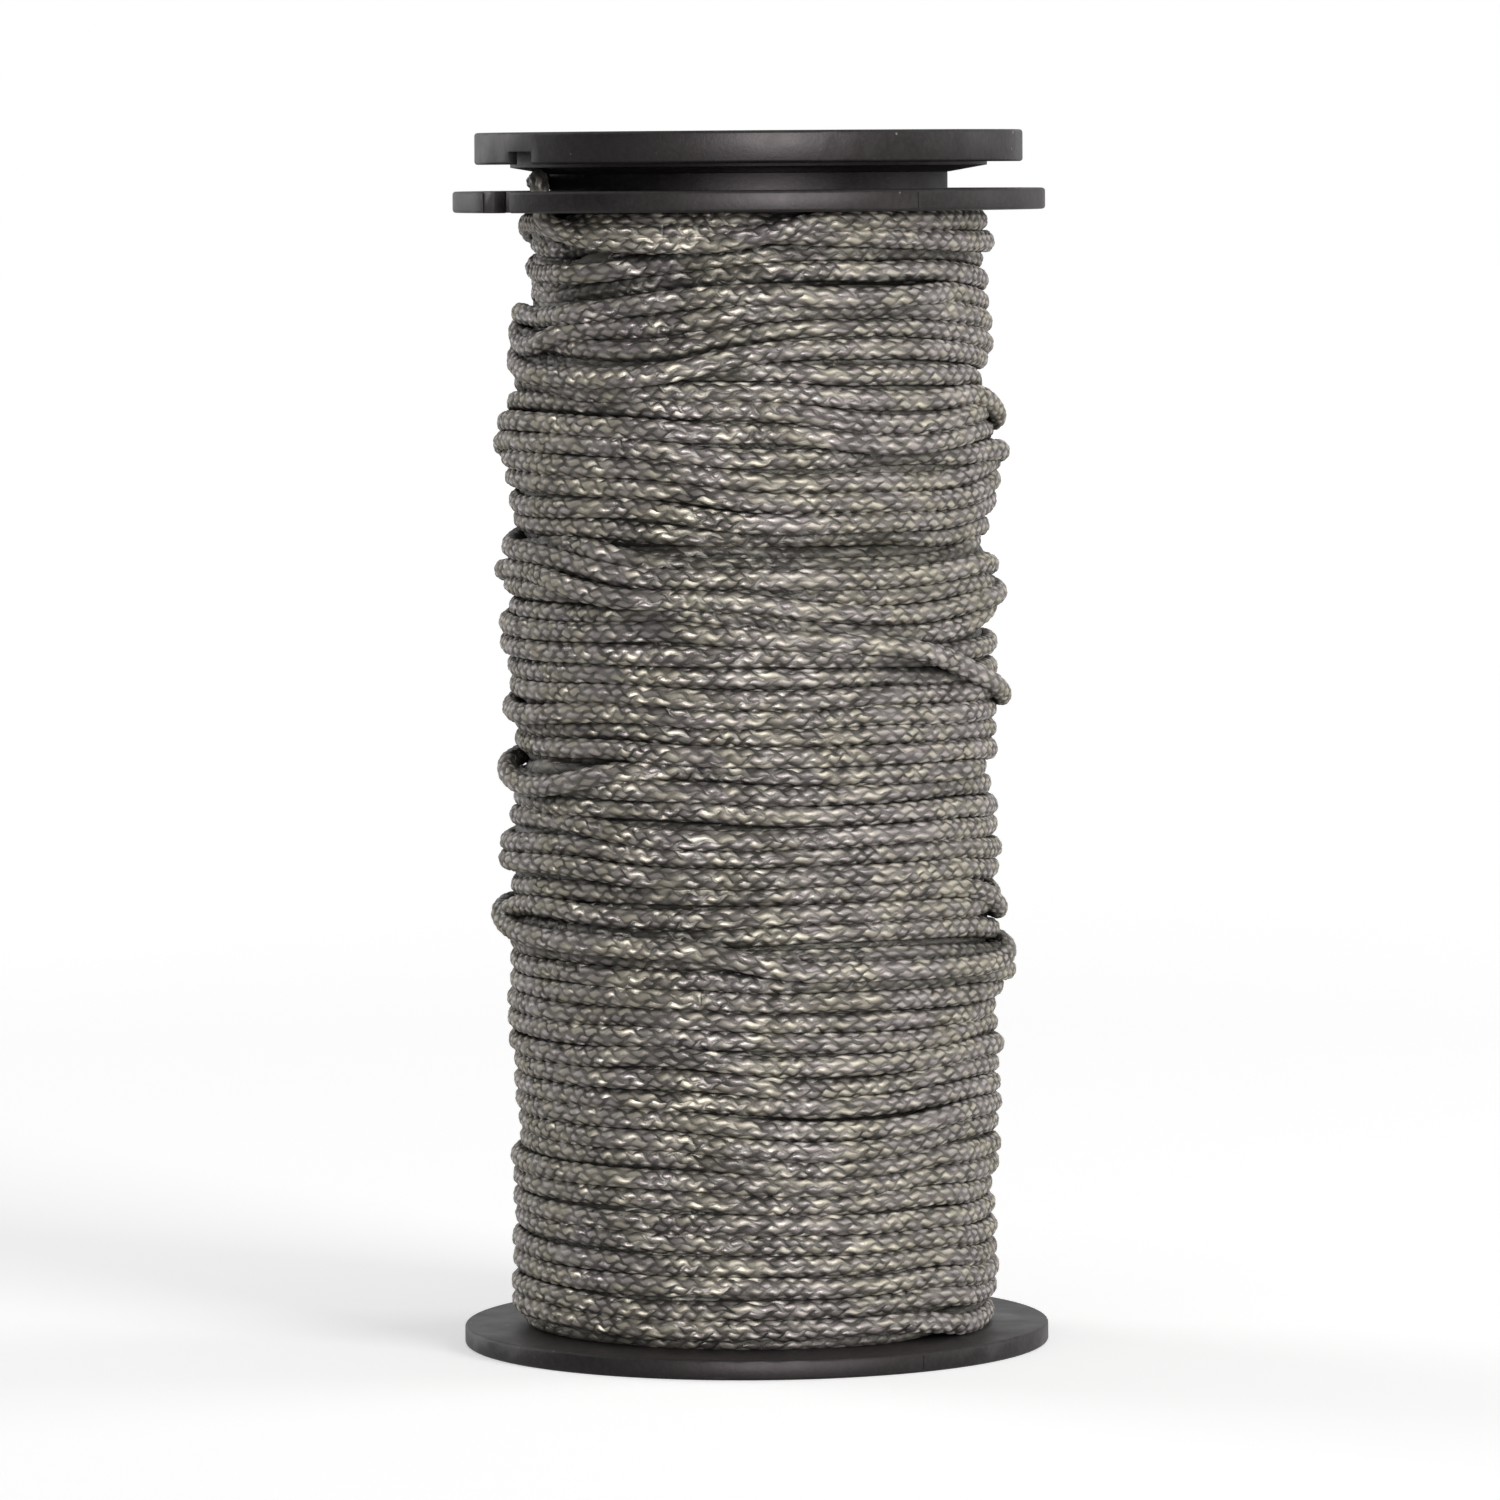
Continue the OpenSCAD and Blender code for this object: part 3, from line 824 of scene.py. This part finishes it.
def plaitDome(tree, f, along, aside, second, third):
    # a grain that lies across its column, longer or shorter by chance
    falls = []
    for way, chance, spread in ((along, second, f["domeLong"]), (aside, third, f["domeWide"])):
        away = maths(tree, "ABSOLUTE", maths(tree, "MULTIPLY", way, ramp(tree, chance, 0, 1, *spread)))
        fall = maths(tree, "SUBTRACT", 1.0, maths(tree, "POWER", away, f["domeShape"]))
        falls.append(maths(tree, "MAXIMUM", 0.0, fall))
    return maths(tree, "MULTIPLY", *falls)


def braidMaterial(f):
    material, tree, shader = newMaterial("graphiteBraid")
    here = tree.nodes.new("ShaderNodeTexCoord").outputs["Object"]
    along, aside, dice = plaitPlaces(tree, f, here)
    first, second, third = separated(tree, "Color", dice.outputs["Color"])
    dome = plaitDome(tree, f, along, aside, second, third)
    fineAlong, fineAside = f["fibres"]
    strand = combined(tree, maths(tree, "MULTIPLY", along, fineAlong),
                      maths(tree, "MULTIPLY", aside, fineAside),
                      maths(tree, "MULTIPLY", dice.outputs["Value"], f["fibreShift"]))
    fibres = noise(tree, strand, *f["fibreNoise"])
    fuzz = noise(tree, here, *f["fuzz"])
    height = maths(tree, "ADD", dome, maths(tree, "MULTIPLY", fibres, f["fibreHeight"]))
    height = maths(tree, "ADD", height, maths(tree, "MULTIPLY", fuzz, f["fuzzHeight"]))
    askew = vectorMaths(tree, "SUBTRACT", dice.outputs["Color"], (0.5, 0.5, 0.5))
    askew = vectorMaths(tree, "MULTIPLY", askew, (f["askew"],) * 3)
    normal = vectorMaths(tree, "ADD", askew, bumped(tree, height, f["height"]))
    tree.links.new(vectorMaths(tree, "NORMALIZE", normal), shader.inputs["Normal"])
    # shade: plait by plait and dark in their joints, with painted shade down between the turns and a
    # painted highlight on each plait's top
    chance = maths(tree, "POWER", dice.outputs["Value"], f["shadeCurve"])
    shade = ramp(tree, chance, 0, 1, *f["shade"])
    crease = ramp(tree, noise(tree, here, *f["creaseNoise"]), *f["crease"])
    joint = ramp(tree, dome, 0.0, f["jointWide"], crease, 1.0)
    # painted highlight: each plait's top is paler, more or less by the plait's chance
    paintedPlaitTop = maths(tree, "MULTIPLY", ramp(tree, dome, *f["paintedPlaitTop"]), shade)
    # painted shade: the deeper a point lies between the turns, the darker its colour
    depth = addNode(tree, "ShaderNodeAttribute", attribute_name="depth")
    paintedSunkShade = ramp(tree, depth.outputs["Fac"], *f["sunk"])
    both = maths(tree, "ADD", maths(tree, "MULTIPLY", joint, f["jointShare"]),
                 maths(tree, "MULTIPLY", paintedPlaitTop, f["paintedPlaitTopShare"]))
    streaks = ramp(tree, fibres, *f["streaks"])
    patches = ramp(tree, noise(tree, here, *f["patchNoise"]), *f["patches"])
    both = maths(tree, "MULTIPLY", maths(tree, "MULTIPLY", both, paintedSunkShade),
                 maths(tree, "MULTIPLY", patches, streaks))
    hue = maths(tree, "ADD", noise(tree, here, *f["hueNoise"]),
                ramp(tree, second, 0, 1, -f["hueChance"], f["hueChance"]))
    light = blendColour(tree, ramp(tree, hue, *f["hue"]), f["warm"], f["cool"])
    # base colour from dark to light: plait tone and dark joints, with painted shade between turns and
    # painted highlight on plait tops
    feed(tree, shader.inputs["Base Color"], blendColour(tree, both, f["dark"], light))
    feed(tree, shader.inputs["Roughness"], ramp(tree, first, *f["rough"]))
    setInputs(shader, {"Metallic": f["metal"]})
    return material


def slowTwist(b, marks, rng):
    # the cord lies on its barrel with two columns foremost, and rolls a little
    turn = sum(rng.uniform(*b["rollSizes"])
               * np.sin(marks / rng.uniform(*b["rollLengths"]) + rng.uniform(0, fullTurn))
               for i in range(b["rollWaves"]))
    return math.pi / b["columns"] + b["roll"] * turn


def makeLine(c, b):
    layers = layLine(c)
    crowns = coverMap(c, layers)
    braid = braidMaterial(braidFinish)
    rng = np.random.default_rng(c["seed"] + 1)
    outward, aside = (c["width"] / 2 * share for share in b["flat"])
    pieces = []

    def addPiece(name, node, start, end, layer, sides, relief):
        part = slice(start, end + 1)
        marks = layer["marks"][part]
        long, short = (np.sin(marks / length) for length in b["swellLengths"])
        thick = 1 + b["swell"] * long * short
        piece = braidedTube(name, layer["points"][part], marks, sectionAngles(b, sides),
                            outward * thick, aside * thick, layer["twist"][part], relief, b, crowns)
        piece.data.materials.append(braid)
        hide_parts(node)
        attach(piece, "spool")
        pieces.append(piece)

    for layer, rings in zip(layers, b["rings"]):
        layer["points"], layer["marks"] = resampled(layer["path"], b["plait"] / rings)
        layer["twist"] = slowTwist(b, layer["marks"], rng)
    first, second, outer = layers
    firstSides, secondSides, outerSides = b["sides"]
    count = len(outer["points"]) - 1
    bounds = list(range(0, count, b["pieceRings"])) + [count]
    for i, (start, end) in enumerate(zip(bounds[:-1], bounds[1:])):
        addPiece("line_outer_%d" % (i + 1), "line_winding", start, end, outer, outerSides, b["relief"])
    count = len(second["points"]) - 1
    for i, (start, end) in enumerate(((0, count // 2), (count // 2, count))):
        addPiece("line_second_%d" % (i + 1), "line_core", start, end, second, secondSides, 0)
    addPiece("line_first", "line_core", 0, len(first["points"]) - 1, first, firstSides, 0)
    report("line made: %d pieces, %d faces" % (
        len(pieces), sum(len(piece.data.polygons) for piece in pieces)))
    return outer, crowns


outerLayer, lineCrowns = makeLine(lineSet, braidSet)


# Tail: the line's end, up through the slot and round the collar, under the cap's clamp ring
tailSet = {
    "tallPressed": 0.82,      # height of the cord where the cap presses it flat
    "grooveFloor": 0.43,      # the flattened cord's centre above the flange
    # direction from the slot, out from 0 at the collar to 1 at the winding's surface,
    # height from 0 at the last turn to 1 in the groove, and how flat it is pressed
    "route": [
        (21, 0.84, 0, 0), (16, 0.88, 0.01, 0), (12, 0.92, 0.03, 0), (8, 0.95, 0.07, 0),
        (3.5, 0.97, 0.16, 0), (0.9, 1, 0.34, 0), (0.3, 1, 0.54, 0), (-0.3, 0.98, 0.75, 0),
        (-1.7, 0.89, 0.94, 0), (-4.2, 0.75, 1.04, 0), (-7, 0.6, 1.06, 0), (-10.5, 0.43, 1.04, 0.1),
        (-15.4, 0.27, 1.02, 0.3), (-21, 0.13, 1.01, 0.7), (-26, 0.05, 1, 1), (-32, 0.01, 1, 1),
        (-40, 0.01, 1, 1), (-50, 0.01, 1, 1), (-60, 0.01, 1, 1), (-70, 0.01, 1, 1),
        (-80, 0.01, 1, 1), (-90, 0.01, 1, 1), (-100, 0.01, 1, 1), (-110, 0.01, 1, 1),
        (-120, 0.01, 1, 1), (-130, 0.01, 1, 1), (-140, 0.01, 1, 1), (-150, 0.01, 1, 1),
    ],
}


def makeTail(t, c, b, outer, crowns):
    half = c["width"] / 2
    wide = c["width"] ** 2 / t["tallPressed"] / 2
    tall = t["tallPressed"] / 2
    pressedRadius = spool["barrelRadius"] + layGap + wide
    top = spool["flangeTop"] + t["grooveFloor"]
    end = outer["path"][-1]
    before = outer["path"][-2]
    step = (end - before) / np.linalg.norm(end - before)
    rows = [(*end, 0.0), (*(end + step * c["width"]), 0.0)]
    for turned, out, up, pressed in t["route"]:
        a = math.radians(spool["slotDirection"] + turned)
        r = pressedRadius + out * (spool["windingRadius"] - pressedRadius)
        z = c["endHeight"] + up * (top - c["endHeight"])
        rows.append((r * math.cos(a), r * math.sin(a), z, pressed))
    path, marks = resampled(np.array(rows), b["plait"] / b["rings"][-1])
    pressed = np.clip(path[:, 3], 0, 1)
    marks = marks + outer["marks"][-1]
    piece = braidedTube("line_tail_end", path[:, :3], marks, sectionAngles(b, b["sides"][-1]),
                        half + (wide - half) * pressed - b["relief"] / 2,
                        half + (tall - half) * pressed - b["relief"] / 2,
                        np.full(len(marks), outer["twist"][-1]), b["relief"], b, crowns)
    piece.data.materials.append(bpy.data.materials["graphiteBraid"])
    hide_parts("line_tail")
    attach(piece, "spool")
    report("tail made")


makeTail(tailSet, lineSet, braidSet, outerLayer, lineCrowns)


# Plastic: matte black mouldings with a fine grain
plasticSet = {
    "grain": (5200, 3, 0.6),  # scale, detail and roughness of each noise
    "fine": (3200, 2, 0.7),
    "mottle": (420, 3, 0.55),
    "cloud": (90, 2, 0.5),
    "dustPlaces": (700, 1, 0.5),
    "fineCut": (0.35, 0.75),  # where each noise begins to show, and is full
    "mottleCut": (0.25, 0.75),
    "cloudCut": (0.3, 0.7),
    "dustCut": (0.60, 0.66),
    "speckScale": 1500,
    "speckSize": (0.06, 0.12),
    "deep": (0.0068, 0.0058, 0.0055, 1),
    "plain": (0.0112, 0.0098, 0.0098, 1),
    "rubbed": (0.0225, 0.0200, 0.0198, 1),
    "dust": (0.20, 0.19, 0.19, 1),
    "rough": (0.44, 0.58),
    "roughCloud": (-0.04, 0.05),
    "gloss": {"Specular IOR Level": 0.20, "Specular Tint": (1.0, 0.90, 0.92, 1)},
    "mottleBump": (0.02 * mm, 0.5),        # height and strength
    "grainBump": (0.012 * mm, 0.8),
    "edge": 0.06 * mm,        # small round on every edge
    "edgeSteps": 2,
    "merge": 0.002 * mm,      # corners closer than this are one
    # angles in degrees: what is flat, what is an edge, and what is shaded smooth
    "flatTo": 0.5,
    "edgeFrom": 50,
    "smoothTo": 32,
}


def blackPlastic(name, shift, p):
    material, tree, shader = newMaterial(name)
    place = tree.nodes.new("ShaderNodeTexCoord").outputs["Object"]
    move = addNode(tree, "ShaderNodeMapping", {"Location": shift})
    tree.links.new(place, move.inputs["Vector"])
    here = move.outputs["Vector"]
    mottle = noise(tree, here, *p["mottle"])
    cloud = ramp(tree, noise(tree, here, *p["cloud"]), *p["cloudCut"])
    specks = addNode(tree, "ShaderNodeTexVoronoi", {"Scale": p["speckScale"]})
    tree.links.new(here, specks.inputs["Vector"])
    speck = ramp(tree, specks.outputs["Distance"], *p["speckSize"], 1, 0)
    dust = maths(tree, "MULTIPLY", speck,
                 ramp(tree, noise(tree, here, *p["dustPlaces"]), *p["dustCut"]))
    tone = blendColour(tree, cloud, p["deep"], p["plain"])
    fine = ramp(tree, noise(tree, here, *p["fine"]), *p["fineCut"])
    tone = blendColour(tree, fine, tone, p["rubbed"])
    feed(tree, shader.inputs["Base Color"], blendColour(tree, dust, tone, p["dust"]))
    rough = maths(tree, "ADD", ramp(tree, mottle, *p["mottleCut"], *p["rough"]),
                  ramp(tree, cloud, 0, 1, *p["roughCloud"]))
    feed(tree, shader.inputs["Roughness"], rough)
    setInputs(shader, p["gloss"])
    low = bumped(tree, mottle, *p["mottleBump"])
    grain = noise(tree, here, *p["grain"])
    feed(tree, shader.inputs["Normal"], bumped(tree, grain, *p["grainBump"], low))
    return material


def dressNode(node, name, material, p):
    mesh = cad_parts[node].data.copy()
    mesh.materials.clear()
    piece = bpy.data.objects.new(name, mesh)
    bpy.context.scene.collection.objects.link(piece)
    pickOnly(piece)
    bpy.ops.object.mode_set(mode="EDIT")
    bpy.ops.mesh.select_all(action="SELECT")
    bpy.ops.mesh.remove_doubles(threshold=p["merge"])
    bpy.ops.mesh.dissolve_limited(angle_limit=math.radians(p["flatTo"]))
    bpy.ops.object.mode_set(mode="OBJECT")
    bevel = piece.modifiers.new("edges", "BEVEL")
    bevel.width = p["edge"]
    bevel.segments = p["edgeSteps"]
    bevel.limit_method = "ANGLE"
    bevel.angle_limit = math.radians(p["edgeFrom"])
    bpy.ops.object.modifier_apply(modifier=bevel.name)
    bpy.ops.object.shade_smooth_by_angle(angle=math.radians(p["smoothTo"]))
    piece.data.materials.append(material)
    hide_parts(node)
    report("%s: %d faces" % (name, len(piece.data.polygons)))
    return piece


# each moulding has its grain shifted, so that the two differ
bodyPlastic = blackPlastic("bodyPlastic", (0.013, 0.0091, 0), plasticSet)
bodyPiece = dressNode("spool_body", "spool_moulding", bodyPlastic, plasticSet)
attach(bodyPiece, "spool")
capPlastic = blackPlastic("capPlastic", (0.041, 0.0287, 0), plasticSet)
capPiece = dressNode("snap_cap", "cap_moulding", capPlastic, plasticSet)
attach(capPiece, "cap")


# Start tape: cream crepe paper that holds the line's hidden start on the barrel
tapeSet = {
    "folds": (1, 1, 0.15),    # how the crepe is drawn out, up the barrel
    "crepe": (2600, 3, 0.6),
    "crepeBump": (0.02 * mm, 0.8),
    "pulp": (700, 3, 0.6),
    "shades": ((0.58, 0.53, 0.40, 1), (0.76, 0.72, 0.60, 1)),
    "rough": (0.3, 0.7, 0.62, 0.85),
}


def crepePaper(t):
    material, tree, shader = newMaterial("crepePaper")
    here = tree.nodes.new("ShaderNodeTexCoord").outputs["Object"]
    drawn = addNode(tree, "ShaderNodeMapping", {"Scale": t["folds"]})
    tree.links.new(here, drawn.inputs["Vector"])
    crepe = noise(tree, drawn.outputs["Vector"], *t["crepe"])
    pulp = noise(tree, here, *t["pulp"])
    feed(tree, shader.inputs["Base Color"], blendColour(tree, pulp, *t["shades"]))
    feed(tree, shader.inputs["Roughness"], ramp(tree, pulp, *t["rough"]))
    feed(tree, shader.inputs["Normal"], bumped(tree, crepe, *t["crepeBump"]))
    return material


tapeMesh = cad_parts["start_tape"].data
tapeMesh.materials.clear()
tapeMesh.materials.append(crepePaper(tapeSet))
report("tape dressed")
